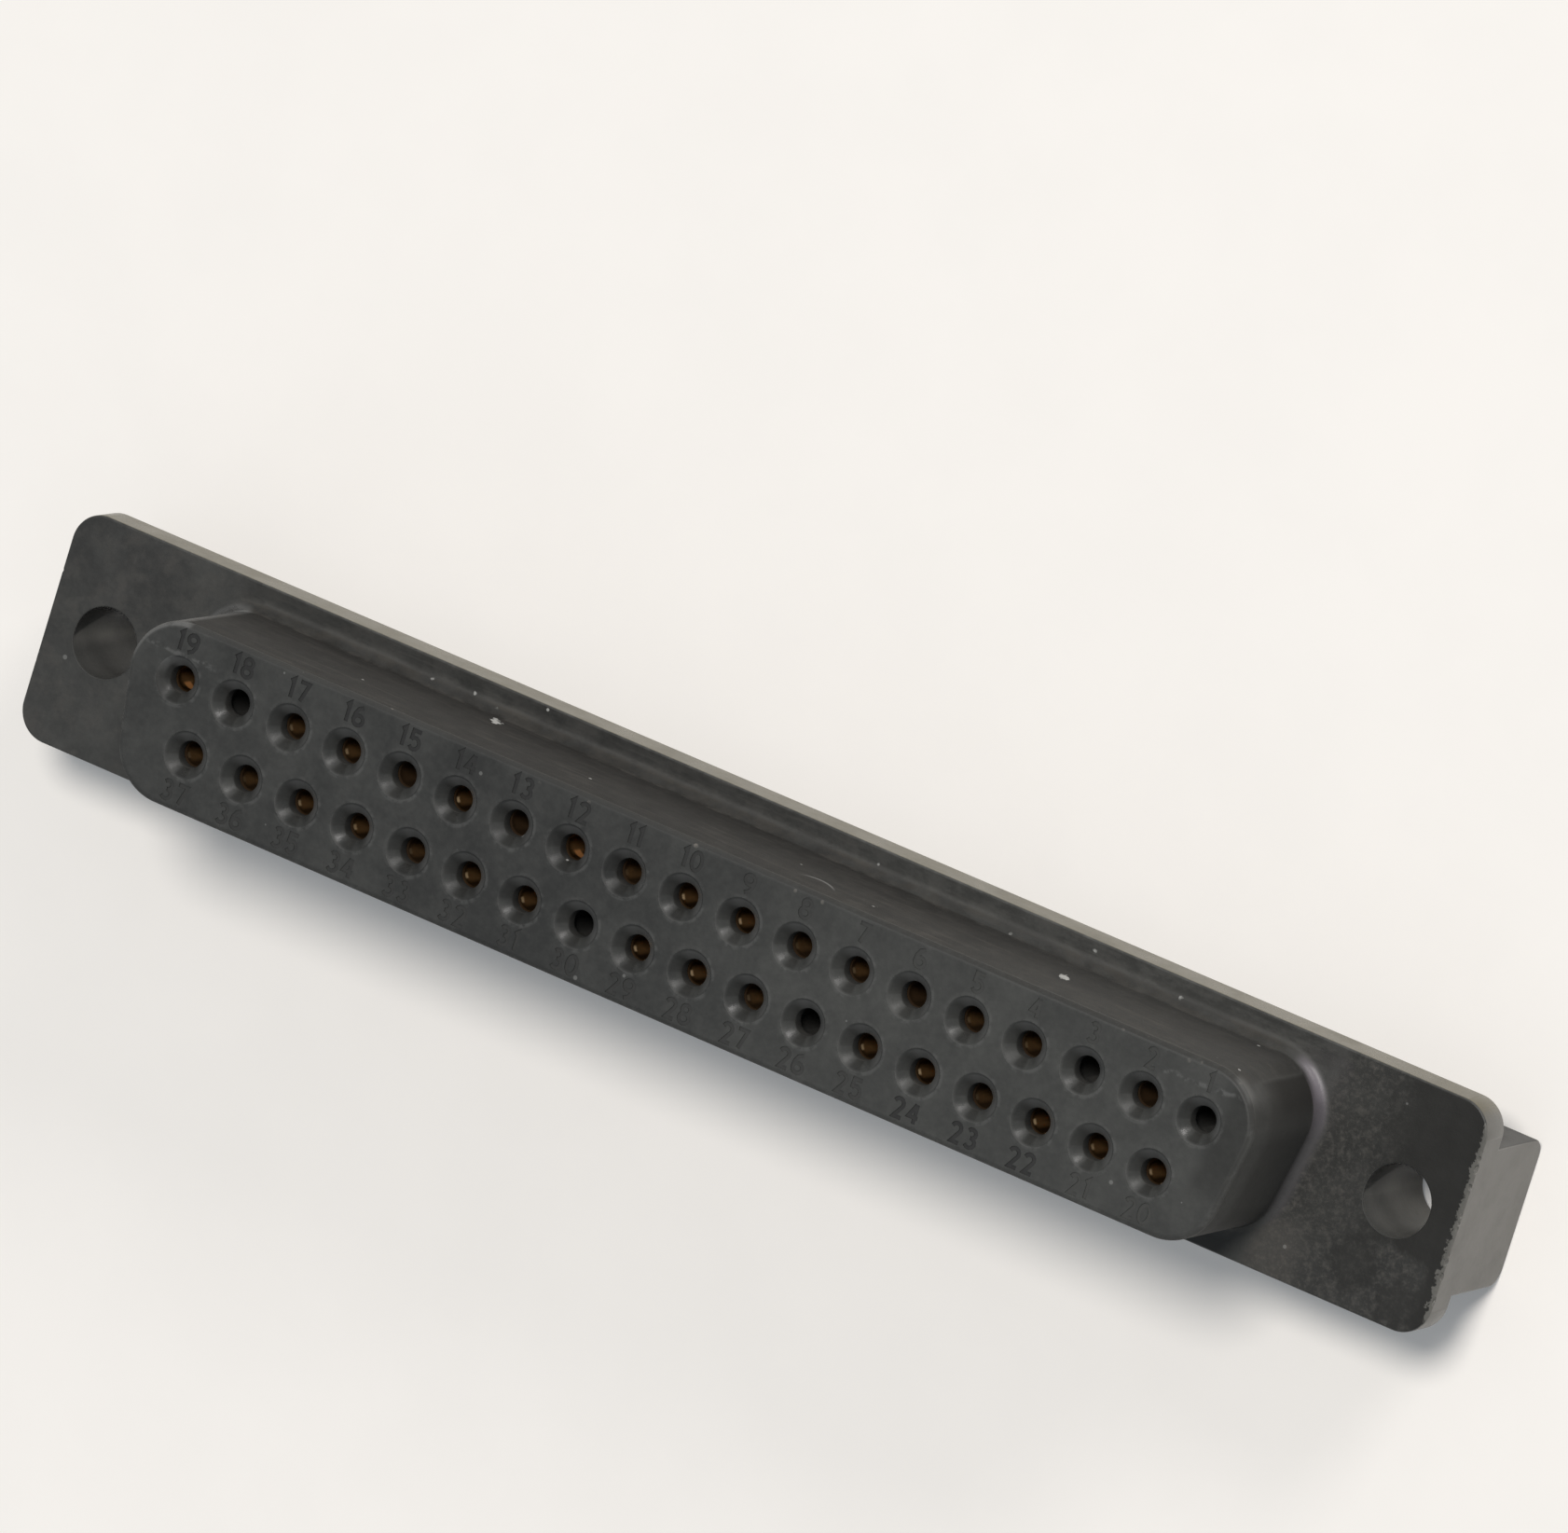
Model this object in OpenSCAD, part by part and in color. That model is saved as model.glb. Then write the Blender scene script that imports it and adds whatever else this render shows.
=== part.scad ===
// All-plastic D-shaped connector, socket side, with removable crimp contacts.
// X runs along the contact rows, Y towards the wide row, Z out of the mating face.
// The origin lies midway between the two ear holes, on the front face of the flange.

/* [Contact pattern] */
// Cavities in the wide row, the narrow row has one fewer
wide_row_count = 19; // [5:1:25]
// Spacing of the cavities along a row
pitch = 2.77; // [2.72:0.01:3.2]
// Distance between the two rows
row_gap = 2.84; // [2.6:0.01:3.4]

/* [Nose] */
// Height of the nose above the flange
nose_h = 6.2; // [5.6:0.1:8]
// Plastic between the last contact axis and the widest point of the nose
nose_end_margin = 2.42; // [2:0.01:4]
// Plastic between a row of contact axes and the long side of the nose
nose_side_margin = 2.45; // [2:0.01:4]
// Lean of the two short sides, which gives the D shape
side_lean = 10; // [0:0.5:15]
// Radius of the four nose corners
nose_corner_r = 2.4; // [1:0.1:3]

/* [Flange] */
// Thickness of the flange
flange_t = 1.7; // [1:0.1:3]
// Flange rim beyond each long side of the nose
flange_rim = 1.23; // [0.9:0.01:3]
// Radius of the flange corners
flange_corner_r = 1.4; // [0.3:0.1:2.5]
// Distance from the nose to each ear hole axis
ear_offset = 4.4; // [3:0.1:8]
// Distance from each ear hole axis to the end of the flange
ear_end = 2.9; // [2.8:0.1:6]
// Diameter of the two ear holes
ear_hole_d = 3.05; // [2:0.05:3.4]
// Chamfer at the rear rim of the ear holes
ear_chamfer = 0.4; // [0.1:0.05:0.5]

/* [Rear block] */
// Depth of the block behind the flange
block_depth = 4.5; // [3.6:0.1:7]
// Plastic between a row of contact axes and the long side of the block
block_side_margin = 1.83; // [1.6:0.01:3]
// Rounding of the four edges that run front to back
block_edge_r = 0.3; // [0.1:0.05:1]
// Rounding of the two ends at the rear
block_end_r = 0.8; // [0.1:0.05:0.9]

/* [Cavity] */
// Diameter of the mating pin
pin_d = 1.02; // [0.9:0.01:1.1]
// Room around the pin in the plastic entry, on the radius
entry_clearance = 0.06; // [0.02:0.01:0.15]
// Depth of the plastic entry in front of the contact
entry_wall = 0.95; // [0.6:0.05:1.6]
// Diameter of the lead-in cone at the mating face
lead_in_d = 2.05; // [1.5:0.05:2.3]
// Room around the contact in its cavity, on the radius
cavity_clearance = 0.04; // [0.02:0.01:0.08]
// Length of the front bore that guides the socket
guide_l = 5.4; // [4.6:0.1:6]
// Depth of the pocket that catches the lances, beyond the rear bore
lance_pocket = 0.14; // [0.08:0.01:0.2]
// Length of the lance pocket
lance_pocket_l = 1.3; // [0.9:0.1:2]
// Length of plain rear bore between the collar and the lance pocket
pocket_gap = 0.5; // [0.2:0.1:1]

/* [Contact] */
// Turn of every contact about its axis, which sets where the slot lies
contact_turn = 30; // [0:1:180]
// Room around the pin inside the socket, on the radius
socket_clearance = 0.02; // [0:0.01:0.06]
// Wall of the socket
socket_wall = 0.24; // [0.15:0.01:0.3]
// Depth of the socket bore
socket_depth = 4.8; // [3.5:0.1:5.4]
// Width of the slot between the two tines
slot_w = 0.22; // [0.1:0.02:0.4]
// Length of the slot
slot_l = 3.4; // [2:0.1:4]
// Widening at the mouth of the socket, on the radius
mouth_flare = 0.12; // [0:0.01:0.14]
// Height of the collar beyond the socket
collar_step = 0.2; // [0.1:0.01:0.25]
// Length of the collar
collar_l = 0.5; // [0.3:0.05:1]
// Thickness of a lance
lance_t = 0.22; // [0.12:0.02:0.4]
// Width of a lance
lance_w = 0.5; // [0.3:0.05:0.6]
// Outside diameter of the crimp barrel
crimp_d = 1.5; // [1.3:0.05:1.8]
// Diameter of the wire hole in the crimp barrel
wire_d = 1.05; // [0.6:0.05:1.15]
// Depth of the wire hole
wire_depth = 3.2; // [2:0.1:4]
// Diameter of the inspection hole in the crimp barrel
inspection_d = 0.4; // [0.2:0.05:0.6]
// Depth of the crimp barrel's end inside the rear block
crimp_recess = 0.3; // [0.1:0.1:1]

/* [Hidden] */
$fn = 64;
// Cavities that hold no contact
empty_cavities = [1, 3, 18, 26, 30];
// Overrun of a cut past the face that it opens
over = 0.5;
// Depth to which an added form is bedded in the form that carries it
bed = 0.2;

cavity_count = 2 * wide_row_count - 1;
row_half = row_gap / 2;
pattern_half = (wide_row_count - 1) / 2 * pitch;

nose_half_w = pattern_half + nose_end_margin;
nose_half_h = row_half + nose_side_margin;
ear_x = nose_half_w + ear_offset;
flange_half_l = ear_x + ear_end;
flange_half_h = nose_half_h + flange_rim;
block_half_h = row_half + block_side_margin;
rear_z = -flange_t - block_depth;

// Corner centres of the nose. The widest point is on the arc of an upper corner.
corner_y = nose_half_h - nose_corner_r;
upper_corner_x = nose_half_w - nose_corner_r;
lower_corner_x = upper_corner_x - 2 * corner_y * tan(side_lean);

entry_r = pin_d / 2 + entry_clearance;
lead_in_depth = lead_in_d / 2 - entry_r;
socket_r = pin_d / 2 + socket_clearance;
socket_outer_r = socket_r + socket_wall;
guide_r = socket_outer_r + cavity_clearance;
collar_r = socket_outer_r + collar_step;
rear_bore_r = collar_r + cavity_clearance;
pocket_r = rear_bore_r + lance_pocket;
lance_r = sqrt(pow(pocket_r - cavity_clearance, 2) - pow(lance_w / 2, 2));

socket_front_z = nose_h - entry_wall - cavity_clearance;
seat_z = nose_h - entry_wall - guide_l;
collar_rear_z = seat_z - collar_l;
pocket_front_z = collar_rear_z - pocket_gap;
pocket_rear_z = pocket_front_z - lance_pocket_l;
lance_rear_z = pocket_rear_z + cavity_clearance;
crimp_end_z = rear_z + crimp_recess;
wire_floor_z = crimp_end_z + wire_depth;

function contact_name(n) = str("contact_", n < 10 ? "0" : "", n);
function in_wide_row(n) = n <= wide_row_count;
function cavity_x(n) = in_wide_row(n)
    ? pattern_half - (n - 1) * pitch
    : pattern_half - (n - wide_row_count - 0.5) * pitch;
function cavity_y(n) = in_wide_row(n) ? row_half : -row_half;
function loaded(n) = len(search(n, empty_cavities)) == 0;

contacts = [for (n = [1 : cavity_count]) if (loaded(n)) n];

// Outline with a round corner at each centre. The centres run anticlockwise.
module rounded_outline(centres, r) {
    count = len(centres);
    function outward(i) =
        let (step = centres[(i + 1) % count] - centres[i])
        [step.y, -step.x] / norm(step);
    union() {
        polygon([for (i = [0 : count - 1]) each [
            centres[i] + r * outward((i + count - 1) % count),
            centres[i] + r * outward(i)
        ]]);
        for (c = centres) translate(c) circle(r);
    }
}

function box_centres(half_x, half_y, r) = [
    [half_x - r, half_y - r],
    [r - half_x, half_y - r],
    [r - half_x, r - half_y],
    [half_x - r, r - half_y]
];

nose_centres = [
    [upper_corner_x, corner_y],
    [-upper_corner_x, corner_y],
    [-lower_corner_x, -corner_y],
    [lower_corner_x, -corner_y]
];

module nose() {
    translate([0, 0, -bed]) linear_extrude(nose_h + bed) rounded_outline(nose_centres, nose_corner_r);
}

module flange() {
    translate([0, 0, -flange_t]) linear_extrude(flange_t)
        rounded_outline(box_centres(flange_half_l, flange_half_h, flange_corner_r), flange_corner_r);
}

module rear_block() {
    intersection() {
        translate([0, 0, rear_z]) linear_extrude(block_depth + bed)
            rounded_outline(box_centres(flange_half_l, block_half_h, block_edge_r), block_edge_r);
        translate([0, block_half_h + over, rear_z]) rotate([90, 0, 0])
            linear_extrude(2 * (block_half_h + over)) union() {
                translate([-flange_half_l, block_end_r])
                    square([2 * flange_half_l, block_depth + bed + over]);
                for (side = [-1, 1]) translate([side * (flange_half_l - block_end_r), block_end_r])
                    circle(block_end_r);
                translate([block_end_r - flange_half_l, 0])
                    square([2 * (flange_half_l - block_end_r), block_end_r]);
            }
    }
}

// Space of one contact cavity, from the lead-in cone to the open rear.
module cavity() {
    rotate_extrude() polygon([
        [0, nose_h + over],
        [lead_in_d / 2 + over, nose_h + over],
        [entry_r, nose_h - lead_in_depth],
        [entry_r, nose_h - entry_wall],
        [guide_r, nose_h - entry_wall],
        [guide_r, seat_z],
        [rear_bore_r, seat_z],
        [rear_bore_r, pocket_front_z],
        [pocket_r, pocket_front_z],
        [pocket_r, pocket_rear_z],
        [rear_bore_r, pocket_rear_z],
        [rear_bore_r, rear_z - over],
        [0, rear_z - over]
    ]);
}

// Space of one ear hole, with a chamfer at the rear rim.
module ear_hole() {
    r = ear_hole_d / 2;
    rotate_extrude() polygon([
        [0, over],
        [r, over],
        [r, rear_z + ear_chamfer],
        [r + ear_chamfer + over, rear_z - over],
        [0, rear_z - over]
    ]);
}

module housing() {
    color([0.22, 0.23, 0.23]) difference() {
        union() {
            nose();
            flange();
            rear_block();
        }
        for (n = [1 : cavity_count]) translate([cavity_x(n), cavity_y(n), 0]) cavity();
        for (side = [-1, 1]) translate([side * ear_x, 0, 0]) ear_hole();
    }
}

// Spring lance that leans out of the contact and catches behind the pocket's rear shoulder.
module lance() {
    root_r = crimp_d / 2 - bed;
    rotate([90, 0, 0]) translate([0, 0, -lance_w / 2]) linear_extrude(lance_w) polygon([
        [root_r, pocket_front_z],
        [crimp_d / 2, pocket_front_z],
        [lance_r, lance_rear_z],
        [lance_r - lance_t, lance_rear_z],
        [root_r, lance_rear_z + lance_t]
    ]);
}

// One-piece socket contact: two tines, a collar that seats in the cavity, two lances and a crimp barrel.
module contact(n) {
    color([0.62, 0.42, 0.2]) translate([cavity_x(n), cavity_y(n), 0]) rotate(contact_turn) {
        difference() {
            union() {
                rotate_extrude() polygon([
                    [0, socket_front_z],
                    [socket_outer_r, socket_front_z],
                    [socket_outer_r, seat_z],
                    [collar_r, seat_z],
                    [collar_r, collar_rear_z],
                    [crimp_d / 2, collar_rear_z],
                    [crimp_d / 2, crimp_end_z],
                    [0, crimp_end_z]
                ]);
                for (turn = [0, 180]) rotate(turn) lance();
            }
            rotate_extrude() polygon([
                [0, socket_front_z + over],
                [socket_r + mouth_flare + over, socket_front_z + over],
                [socket_r, socket_front_z - mouth_flare],
                [socket_r, socket_front_z - socket_depth],
                [0, socket_front_z - socket_depth]
            ]);
            translate([-slot_w / 2, -socket_outer_r - over, socket_front_z - slot_l])
                cube([slot_w, 2 * (socket_outer_r + over), slot_l + over]);
            translate([0, 0, crimp_end_z - over]) cylinder(h = wire_depth + over, d = wire_d);
            translate([0, 0, wire_floor_z - inspection_d]) rotate([90, 0, 0])
                cylinder(h = crimp_d, d = inspection_d);
        }
    }
}

housing();
for (n = contacts) contact(n);
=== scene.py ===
"""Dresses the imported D-shaped socket connector: moulded housing, socket contacts and a stage."""

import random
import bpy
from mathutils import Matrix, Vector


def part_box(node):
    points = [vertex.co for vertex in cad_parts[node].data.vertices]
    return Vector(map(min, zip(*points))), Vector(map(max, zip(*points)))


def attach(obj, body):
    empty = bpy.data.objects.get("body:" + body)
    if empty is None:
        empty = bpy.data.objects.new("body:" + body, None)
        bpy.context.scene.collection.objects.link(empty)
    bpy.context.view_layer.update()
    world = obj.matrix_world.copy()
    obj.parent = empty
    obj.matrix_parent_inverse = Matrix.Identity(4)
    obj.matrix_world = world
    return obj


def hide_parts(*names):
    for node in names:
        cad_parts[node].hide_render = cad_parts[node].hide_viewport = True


bl_info = {
    "name": "D-shaped socket connector",
    "version": (1, 0, 0),
    "blender": (4, 5, 0),
    "location": "View3D > Sidebar > Connector",
    "description": "Builds a worn plastic 37-way socket connector around its CAD frame",
    "category": "Object",
}

from math import copysign, cos, pi, radians, sin, sqrt, tan
from types import SimpleNamespace

import bmesh
import bpy
from bpy.props import FloatProperty, FloatVectorProperty, PointerProperty
from mathutils import Matrix, Vector

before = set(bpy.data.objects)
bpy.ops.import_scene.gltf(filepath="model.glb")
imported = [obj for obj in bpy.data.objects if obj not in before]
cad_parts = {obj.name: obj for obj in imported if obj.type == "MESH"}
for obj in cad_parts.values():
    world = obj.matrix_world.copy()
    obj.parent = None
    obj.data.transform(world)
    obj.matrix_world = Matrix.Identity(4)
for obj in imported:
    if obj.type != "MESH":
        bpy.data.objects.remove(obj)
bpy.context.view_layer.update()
HOUSING_LOW, HOUSING_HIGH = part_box("housing")
CONTACT_NODES = sorted(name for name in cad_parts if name.startswith("contact_"))

# Pieces are modelled in millimetres and brought to metres when they are finished.
MM = 0.001

# Mating face, rear face, right end and upper long side of the housing
TOP, REAR = HOUSING_HIGH.z / MM, HOUSING_LOW.z / MM
END, SIDE = HOUSING_HIGH.x / MM, HOUSING_HIGH.y / MM

# Cavities in the wide row; the other row has one less
WIDE_ROW = 19

# Depths in a cavity, and sizes of a contact that its cavity hides
GUIDE_LENGTH, POCKET_FRONT, POCKET_LENGTH = 5.4, 1, 1.3
SOCKET_WALL, SOCKET_DEPTH, SOCKET_LIP = 0.24, 4.8, 0.16
SLOT_WIDTH, SLOT_LENGTH, COLLAR_STEP, COLLAR_LENGTH = 0.22, 3.4, 0.2, 0.5
LANCE_THICKNESS, LANCE_WIDTH = 0.2, 0.5
WIRE_DEPTH, INSPECTION_RADIUS, CRIMP_RECESS = 3.2, 0.2, 0.3

# Points round a full turn of each shape
CAVITY_SIDES, EAR_SIDES, CONTACT_SIDES, INSPECTION_SIDES = 48, 72, 40, 20
NOSE_SIDES, FLANGE_SIDES, BLOCK_SIDES = 72, 64, 48

# Edges turn by at least this angle to be bevelled, and by at most the next one to be shaded smooth.
SHARP_ANGLE, SMOOTH_ANGLE = 0.87, radians(32)
NEAR, MERGE_DISTANCE = 0.01, 0.0005

# Tarnish of single contacts: dull ones, ones rubbed bright, which get the strongest painted glint, and ones
# with a painted highlight streak on a tine
DULL, BRIGHT, STREAKED = 1.4, -0.5, -1.5
TARNISH = {
    **dict.fromkeys((2, 6, 13, 15), DULL),
    **dict.fromkeys((9, 10, 14, 22, 24, 28, 29), BRIGHT),
    **dict.fromkeys((12, 19), STREAKED),
}
OTHER_TARNISH = (-0.1, 0.75)

# Marks on the plastic: x, y and radius on the right ear, x and y on the ledge, x and z on the upper wall
BARE_SPOTS = ((30.8, -3.2, 1.15), (33, -4.1, 1))
LEDGE_SPECKS = ((-16.6, 4.2), (-14.55, 4.36), (-13.35, 4.12), (15.7, 4.63), (20, 4.26))
WALL_FLAKES = ((-12.75, 1.1), (16, 2.9))

# Nicks in the flange rims: many along the right end, and y and radius of a few at the left end
RIGHT_NICKS, NICK_START, NICK_STEP = 26, -4, 0.3
LEFT_NICKS = ((2.2, 0.1), (1.6, 0.07), (-0.4, 0.06), (-1.9, 0.09), (-3, 0.06))

# Lamps: place in metres, size and tint
KEY_LAMP = ((0.29, 0.72, 1.7), 0.5, (1, 0.975, 0.94))
RIM_LAMP = ((0.61, 1.25, 0.66), 0.48, (1, 0.97, 0.95))
SKY_TINT, BACKDROP = (0.87, 0.94, 1, 1), 0.95


def amount(name, description, default, **more):
    """A number property."""
    return FloatProperty(name=name, description=description, default=default, **more)


def length(name, description, millimetres):
    """A length property whose default is given in millimetres."""
    return amount(name, description, millimetres * MM, unit="LENGTH", precision=5)


def triple(name, description, default, subtype, **more):
    """A property of three numbers."""
    return FloatVectorProperty(name=name, description=description, default=default, subtype=subtype, **more)


def colour(name, description, value):
    """A colour property."""
    return triple(name, description, value, "COLOR", min=0, max=1)


class ConnectorSizes(bpy.types.PropertyGroup):
    """Sizes of the moulding and its contacts."""

    pitch: length("Pitch", "Spacing of the cavities along a row", 2.77)
    row_gap: length("Row gap", "Distance between the two rows", 2.84)
    nose_half_width: length("Nose half width", "Middle to the widest point of the nose", 27.35)
    nose_half_height: length("Nose half height", "Middle to a long side of the nose", 3.87)
    nose_corner: length("Nose corner", "Radius of the four nose corners", 2.4)
    side_lean: amount("Side lean", "Lean of the two short sides", radians(10), subtype="ANGLE")
    nose_edge: length("Nose edge", "Rounding of the front edge of the nose", 0.28)
    nose_fillet: length("Nose fillet", "Fillet where the nose meets the flange", 0.6)
    flange_thickness: length("Flange thickness", "Thickness of the flange", 1.7)
    flange_corner: length("Flange corner", "Radius of the flange corners", 1.4)
    flange_edge: length("Flange edge", "Rounding of the flange rims", 0.1)
    block_half_height: length("Block half height", "Middle to a long side of the rear block", 3.25)
    block_edge: length("Block edge", "Rounding of the outline of the two block ends", 0.1)
    block_rear: length("Block rear", "Rounding of the two long rear edges of the block", 0.8)
    ear_x: length("Ear hole", "Middle to an ear hole axis", 31.75)
    ear_radius: length("Ear hole radius", "Radius of the ear holes", 1.525)
    ear_chamfer: length("Ear chamfer", "Chamfer at the rear rim of an ear hole", 0.4)
    lead_in: length("Lead-in radius", "Radius of a lead-in cone at the mating face", 1.025)
    entry: length("Entry radius", "Radius of the entry bore", 0.57)
    entry_wall: length("Entry wall", "Depth of the plastic in front of a contact", 0.95)
    guide: length("Guide radius", "Radius of the bore that guides a socket", 0.81)
    rear_bore: length("Rear bore radius", "Radius of the rear bore", 1.01)
    pocket: length("Pocket radius", "Radius of the lance pocket", 1.15)
    rim_round: length("Rim rounding", "Rounding worn on the rims of cones and ear holes", 0.055)
    numeral_height: length("Numeral height", "Height of the numerals, with the field round them", 0.96)
    numeral_y: length("Numeral line", "Middle to the centre line of the numerals", 3.08)
    numeral_depth: length("Numeral depth", "Depth of the moulded numerals", 0.05)
    numeral_stroke: length("Numeral stroke", "Width of the strokes of the numerals", 0.18)
    numeral_step: length("Numeral step", "Room that a digit takes along its line", 0.72)
    clearance: length("Clearance", "Room around a contact in its cavity", 0.04)
    contact_turn: amount("Contact turn", "Turn of every contact", radians(30), subtype="ANGLE")
    socket: length("Socket radius", "Radius of the socket bore", 0.53)
    crimp: length("Crimp radius", "Outside radius of the crimp barrel", 0.75)
    wire: length("Wire radius", "Radius of the wire hole", 0.525)


class ConnectorColours(bpy.types.PropertyGroup):
    """Colours of the finishes."""

    plastic_dark: colour("Plastic, dark", "Plastic where it is still black", (0.0256, 0.026, 0.025))
    plastic_faded: colour("Plastic, faded", "Plastic faded to grey", (0.048, 0.0486, 0.0458))
    # Pale plastic of rubbed edges and scuffs; also the colour of the painted light in the cones and of
    # painted highlights
    plastic_worn: colour("Plastic, worn", "Pale plastic on rubbed edges", (0.15, 0.15, 0.147))
    # Colour of the painted highlight on the fillet round the nose
    fillet: colour("Fillet", "Polished fillet round the nose", (0.08, 0.071, 0.08))
    dust: colour("Dust", "Brownish dust film", (0.066, 0.061, 0.054))
    # Pale dust on the right end; at 2.2 times it is also the painted light on the walls of the ear holes
    side_dust: colour("Side dust", "Pale dust on the right end", (0.15, 0.145, 0.132))
    # Pale dust on the flange's upper long side, with painted light that brightens it
    side_long: colour("Long side", "Warm pale dust on the flange's long side", (0.124, 0.11, 0.073))
    # Colour of grime, and of the painted shade on the nose walls and edge, in the cones, holes and bores and
    # on the block
    grime: colour("Grime", "Greasy dirt on the walls and in the corners", (0.0095, 0.0085, 0.0068))
    speck: colour("Specks", "White specks of dust", (0.62, 0.62, 0.60))
    groove: colour("Numeral", "Dirt at the bottom of the numerals", (0.011, 0.011, 0.0115))
    gold: colour("Gold", "Clean contact plating", (0.45, 0.25, 0.1))
    # Colour of the painted glint in the contacts
    glint: colour("Glint", "Contact plating rubbed bright", (1, 0.74, 0.44))
    # Colour of the painted highlight streak on two contacts
    scrape: colour("Scrape", "Copper alloy where the plating is scraped off", (0.62, 0.28, 0.1))
    # At half strength also the colour of the painted shade on the contact lips
    tarnish: colour("Tarnish", "Tarnished contact plating", (0.1, 0.057, 0.027))
    floor: colour("Floor", "Pale table", (0.97, 0.925, 0.872))
    floor_glow: colour("Floor glow", "Cool light that the table scatters into shadows", (0.84, 0.88, 0.93))


class ConnectorStage(bpy.types.PropertyGroup):
    """Camera and light."""

    camera_place: triple("Camera", "Place of the camera", (0.28309, 0.167242, 0.63121), "TRANSLATION")
    camera_right: triple("Camera right", "Right in the picture", (0.8435, 0.290, -0.4522), "DIRECTION")
    camera_back: triple("Camera back", "From the object to the camera", (0.3987, 0.2261, 0.8888), "DIRECTION")
    lens: amount("Lens", "Focal length on a 36 mm sensor", 394.62)
    key_power: amount("Key light", "Power of the high lamp", 24.4, unit="POWER")
    rim_power: amount("Rim light", "Power of the low lamp", 6.4, unit="POWER")
    ambient: amount("Ambient", "Strength of the light from all round", 0.275)
    floor_glow: amount("Floor glow", "Share of the floor's own brightness", 0.16)


def in_millimetres(group):
    """The sizes as plain numbers: lengths in millimetres and angles as they are."""
    plain = SimpleNamespace()
    for key in ConnectorSizes.__annotations__:
        value = getattr(group, key)
        setattr(plain, key, value / MM if group.bl_rna.properties[key].unit == "LENGTH" else value)
    return plain


def math_node(operation, swapped=False):
    """A method of Wire that adds a Math node; a swapped one takes the wire's own value last."""

    def method(wire, *others):
        values = [*others, wire] if swapped else [wire, *others]
        return wire.finish.node("Math", values, operation=operation)

    return method


class Wire:
    """An output socket whose arithmetic adds Math nodes to its tree."""

    def __init__(self, finish, socket):
        self.finish, self.socket = finish, socket

    __add__ = __radd__ = math_node("ADD")
    __sub__, __rsub__ = math_node("SUBTRACT"), math_node("SUBTRACT", swapped=True)
    __mul__ = __rmul__ = math_node("MULTIPLY")
    __truediv__, __rtruediv__ = math_node("DIVIDE"), math_node("DIVIDE", swapped=True)
    __mod__, __abs__ = math_node("FLOORED_MODULO"), math_node("ABSOLUTE")
    __gt__, __lt__ = math_node("GREATER_THAN"), math_node("LESS_THAN")
    most, least, root = math_node("MAXIMUM"), math_node("MINIMUM"), math_node("SQRT")

    def rise(self, low, high):
        """0 below low, 1 above high and a soft step between them."""
        ends = {"Value": self, "From Min": low, "From Max": high}
        return self.finish.node("MapRange", ends, interpolation_type="SMOOTHSTEP")

    def fall(self, low, high):
        """1 below low, 0 above high and a soft step between them."""
        return 1 - self.rise(low, high)

    def within(self, low, high, soft):
        """1 between low and high, with soft ends."""
        return self.rise(low - soft, low + soft) * self.fall(high - soft, high + soft)


class Finish:
    """A material, or the world, with its node tree."""

    def __init__(self, owner):
        owner.use_nodes = True
        self.owner, self.tree, self.spot = owner, owner.node_tree, None
        self.tree.nodes.clear()

    def node(self, kind, inputs=None, output=0, **settings):
        """Adds a node: its settings are set first, then the values or links of its sockets."""
        made = self.tree.nodes.new("ShaderNode" + kind)
        for key, value in settings.items():
            setattr(made, key, value)
        pairs = inputs.items() if isinstance(inputs, dict) else enumerate(inputs or [])
        for key, value in pairs:
            if isinstance(value, Wire):
                self.tree.links.new(value.socket, made.inputs[key])
            else:
                made.inputs[key].default_value = value
        return Wire(self, made.outputs[output]) if made.outputs else None

    def outputs(self, wire):
        """All the outputs of the node that a wire comes from, by name."""
        return {socket.name: Wire(self, socket) for socket in wire.socket.node.outputs}

    def place(self):
        """Object coordinates in millimetres."""
        if not self.spot:
            metres = self.node("TexCoord", output="Object")
            self.spot = self.node("VectorMath", {0: metres, "Scale": 1 / MM}, operation="SCALE")
        return self.spot

    def parts(self, vector):
        """The three parts of a vector."""
        return list(self.outputs(self.node("SeparateXYZ", [vector])).values())

    def noise(self, scale, detail=3, roughness=0.55, stretch=None, vector=None):
        """Soft noise over the place, or over another vector, which can be stretched."""
        vector = vector or self.place()
        if stretch:
            vector = self.node("VectorMath", [vector, stretch], operation="MULTIPLY")
        values = {"Vector": vector, "Scale": scale, "Detail": detail, "Roughness": roughness}
        return self.node("TexNoise", values)

    def mix(self, factor, first, second):
        """A colour between two colours."""
        tints = [c if isinstance(c, Wire) else (*c, 1) for c in (first, second)]
        inputs = {0: factor, 6: tints[0], 7: tints[1]}
        return self.node("Mix", inputs, output=2, data_type="RGBA")

    def specks(self, scale, share, size):
        """Small round specks in a share of the cells of a scattered pattern."""
        cells = self.node("TexVoronoi", {"Vector": self.place(), "Scale": scale})
        chance = self.parts(self.outputs(cells)["Color"])
        radius = chance[1] * size + size * 0.5
        return (chance[0] > 1 - share) * (cells / radius).fall(0.7, 1)

    def bump(self, height, depth, strength):
        """A bump of a depth in millimetres."""
        values = {"Height": height, "Strength": strength, "Distance": depth * MM}
        return self.node("Bump", values)

    def surface(self, inputs):
        """Ends the tree in a Principled shader."""
        shader = self.node("BsdfPrincipled", inputs)
        self.node("OutputMaterial", {"Surface": shader})
        return self.owner


def span(x, y):
    """Length of the diagonal of two distances."""
    return (x * x + y * y).root()


def most_of(first, *others):
    """The largest of several values."""
    for other in others:
        first = first.most(other)
    return first


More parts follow.
